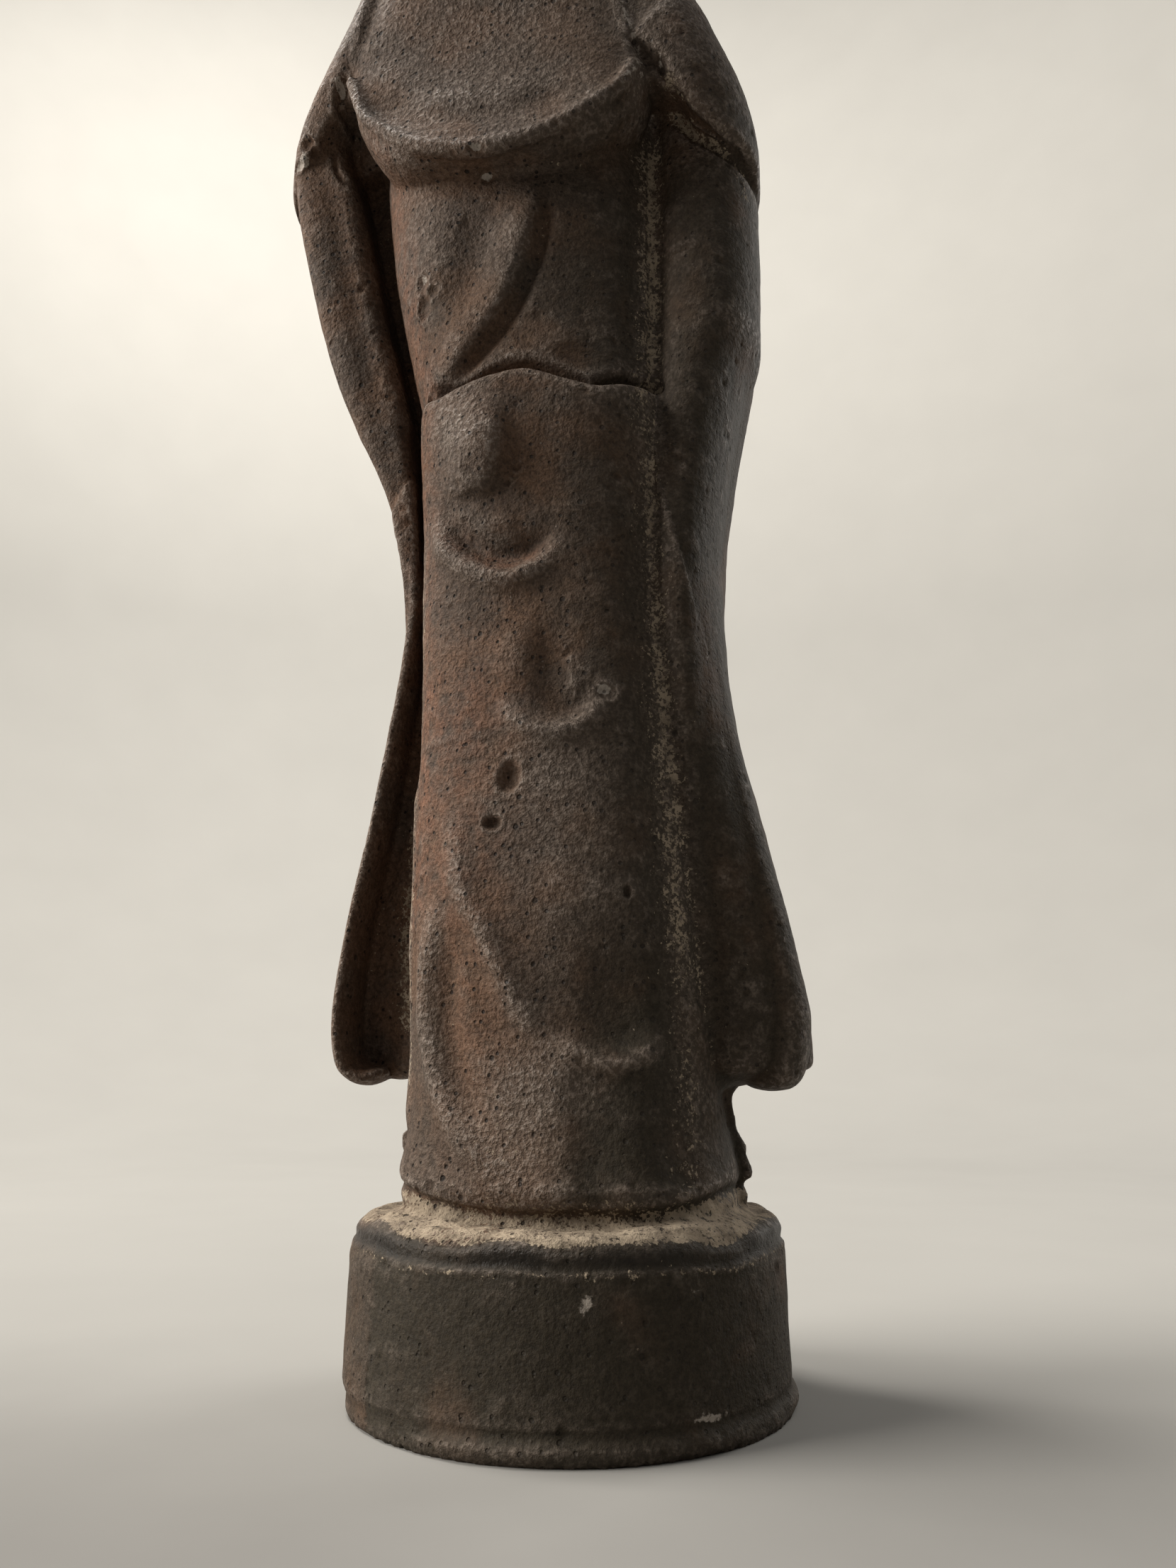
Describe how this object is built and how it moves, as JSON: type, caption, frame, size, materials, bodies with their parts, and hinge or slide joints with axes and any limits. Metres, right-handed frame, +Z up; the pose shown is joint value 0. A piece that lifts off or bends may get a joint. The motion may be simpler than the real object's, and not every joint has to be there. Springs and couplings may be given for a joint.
{
  "type": "ceramic kannon figurine",
  "caption": "Standing robed and hooded figure in unglazed dark stoneware, fired in one piece with its round drum plinth.",
  "frame": {"origin": "centre of the plinth's flat underside", "axes": "+Z up along the figure, -Y to its front, +X to the viewer's right as one faces it"},
  "size_m": [0.0886, 0.064, 0.3119],
  "materials": {
    "fired_clay": "unglazed dark brown stoneware with a fine sandy grain, dusty in its folds"
  },
  "bodies": {
    "root": {"kannon_figurine": "fired_clay"}
  },
  "joints": []
}
